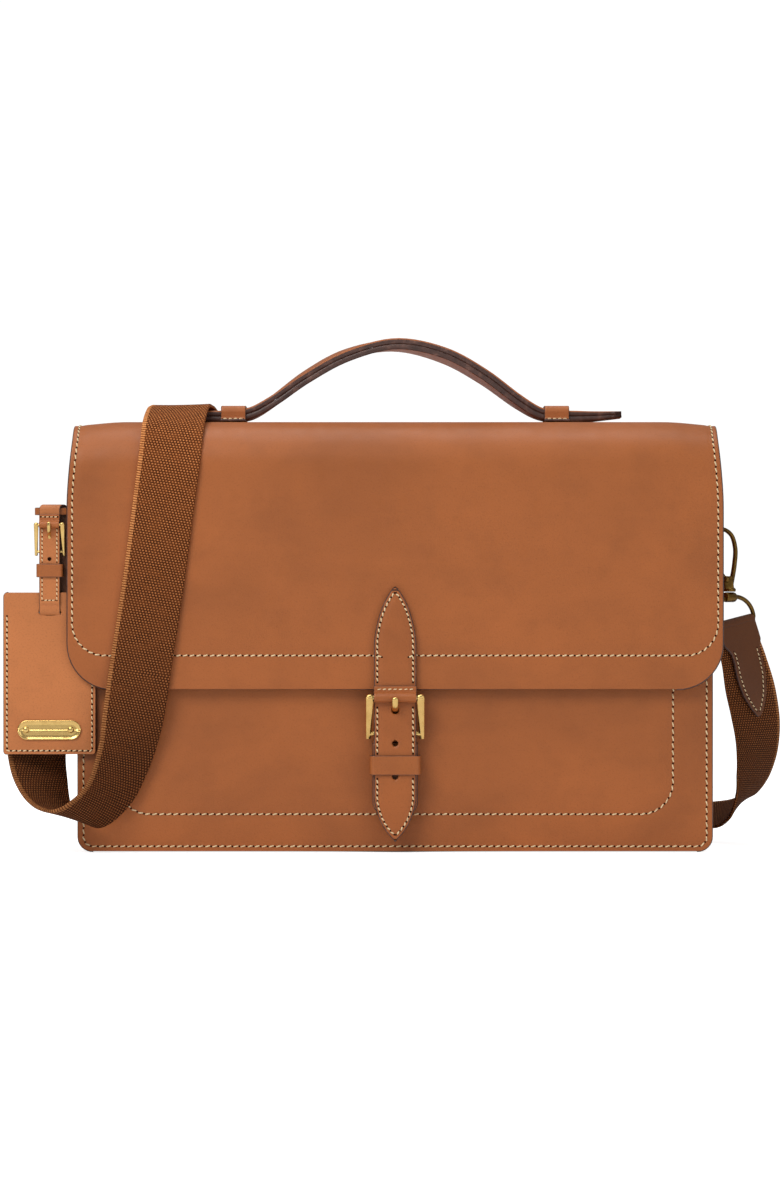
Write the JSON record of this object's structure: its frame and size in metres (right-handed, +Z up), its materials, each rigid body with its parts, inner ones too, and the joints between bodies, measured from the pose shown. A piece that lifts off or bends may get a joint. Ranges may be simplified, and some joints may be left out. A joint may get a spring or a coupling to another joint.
{
  "type": "leather briefcase",
  "caption": "Leather flap briefcase with an arched top handle, buckled closure strap, hooked webbing shoulder strap and a buckled luggage tag.",
  "frame": {"origin": "centre of the bag body's flat underside", "axes": "+Z up, +X to the bag's right as seen from the front, -Y towards the front with the flap and buckle"},
  "size_m": [0.4912, 0.1693, 0.3223],
  "materials": {
    "saddle_leather": "smooth oiled hide with light cream stitching and dark painted edges",
    "dark_leather": "darker brown hide, satin",
    "suede_lining": "matt flesh-side suede",
    "stiffener_board": "matt pressed board",
    "woven_webbing": "dark brown twill webbing with golden flecks and ribbed edges",
    "polished_brass": "polished pale brass",
    "aged_brass": "darkened antique brass"
  },
  "bodies": {
    "case": {"front_panel": "saddle_leather", "back_panel": "saddle_leather", "gusset": "saddle_leather", "bottom_board": "stiffener_board", "lining": "suede_lining", "divider": "suede_lining", "slip_pocket": "suede_lining", "snap_socket": "polished_brass", "ring_tab_left": "saddle_leather", "ring_tab_right": "saddle_leather", "shoulder_webbing": "woven_webbing", "strap_tab_left": "dark_leather", "strap_tab_right": "dark_leather", "eye_left": "aged_brass", "eye_right": "aged_brass", "tag_strap": "saddle_leather", "tag_keeper": "dark_leather", "tag_buckle_frame": "aged_brass", "tag_bar_wrap": "saddle_leather", "tag_loop": "dark_leather"},
    "flap": {"flap": "saddle_leather", "flap_facing": "suede_lining", "handle_keeper_left": "saddle_leather", "handle_keeper_right": "saddle_leather", "closure_strap": "saddle_leather", "closure_chape": "saddle_leather", "snap_stud": "polished_brass", "strap_keeper": "dark_leather"},
    "handle": {"handle_outer": "saddle_leather", "handle_inner": "saddle_leather"},
    "buckle": {"buckle_frame": "polished_brass", "buckle_bar_wrap": "saddle_leather"},
    "prong": {"buckle_prong": "polished_brass"},
    "ring_left": {"side_ring_left": "aged_brass"},
    "ring_right": {"side_ring_right": "aged_brass"},
    "hook_left": {"hook_left": "aged_brass"},
    "hook_right": {"hook_right": "aged_brass"},
    "gate_left": {"gate_left": "aged_brass"},
    "gate_right": {"gate_right": "aged_brass"},
    "tag": {"tag_front": "saddle_leather", "tag_back": "saddle_leather", "tag_plate": "polished_brass", "tag_rivet_left": "polished_brass", "tag_rivet_right": "polished_brass"},
    "tag_prong": {"tag_prong": "aged_brass"}
  },
  "joints": [
    {"name": "flap_hinge", "type": "hinge", "parent": "case", "child": "flap", "pos_m": [0, 0.0442, 0.2556], "axis": [-1, 0, 0], "range_deg": [0, 95], "deforming": ["shoulder_webbing"]},
    {"name": "handle_press", "type": "slide", "parent": "flap", "child": "handle", "axis": [0, 0, -1], "range_m": [0, 0.022], "stiffness_N_per_m": 600, "springref_m": -0.002, "deforming": ["handle_outer", "handle_inner"]},
    {"name": "buckle_tilt", "type": "hinge", "parent": "flap", "child": "buckle", "pos_m": [0, -0.0506, 0.074], "axis": [1, 0, 0], "range_deg": [0, 2]},
    {"name": "prong_lift", "type": "hinge", "parent": "buckle", "child": "prong", "pos_m": [0, -0.0506, 0.074], "axis": [1, 0, 0], "range_deg": [0, 2]},
    {"name": "ring_left_swing", "type": "hinge", "parent": "case", "child": "ring_left", "pos_m": [-0.2013, 0, 0.218], "axis": [0, 1, 0], "range_deg": [0, 3]},
    {"name": "ring_right_swing", "type": "hinge", "parent": "case", "child": "ring_right", "pos_m": [0.2013, 0, 0.218], "axis": [0, -1, 0], "range_deg": [0, 4]},
    {"name": "hook_left_swivel", "type": "hinge", "parent": "case", "child": "hook_left", "pos_m": [-0.2121, 0, 0.16], "axis": [0, 0, 1], "range_deg": [-8, 8]},
    {"name": "hook_right_swivel", "type": "hinge", "parent": "case", "child": "hook_right", "pos_m": [0.2121, 0, 0.16], "axis": [0, 0, 1], "range_deg": [-8, 8]},
    {"name": "gate_left_press", "type": "hinge", "parent": "hook_left", "child": "gate_left", "pos_m": [-0.2101, 0, 0.17], "axis": [0, -1, 0], "range_deg": [0, 18], "stiffness_Nm_per_rad": 0.01, "springref_deg": -17.19},
    {"name": "gate_right_press", "type": "hinge", "parent": "hook_right", "child": "gate_right", "pos_m": [0.2101, 0, 0.17], "axis": [0, 1, 0], "range_deg": [0, 18], "stiffness_Nm_per_rad": 0.01, "springref_deg": -17.19},
    {"name": "tag_swing", "type": "hinge", "parent": "case", "child": "tag", "pos_m": [-0.2146, -0.047, 0.1478], "axis": [0, 1, 0], "range_deg": [0, 11]},
    {"name": "tag_prong_lift", "type": "hinge", "parent": "case", "child": "tag_prong", "pos_m": [-0.2146, -0.0472, 0.187], "axis": [1, 0, 0], "range_deg": [0, 3]}
  ]
}
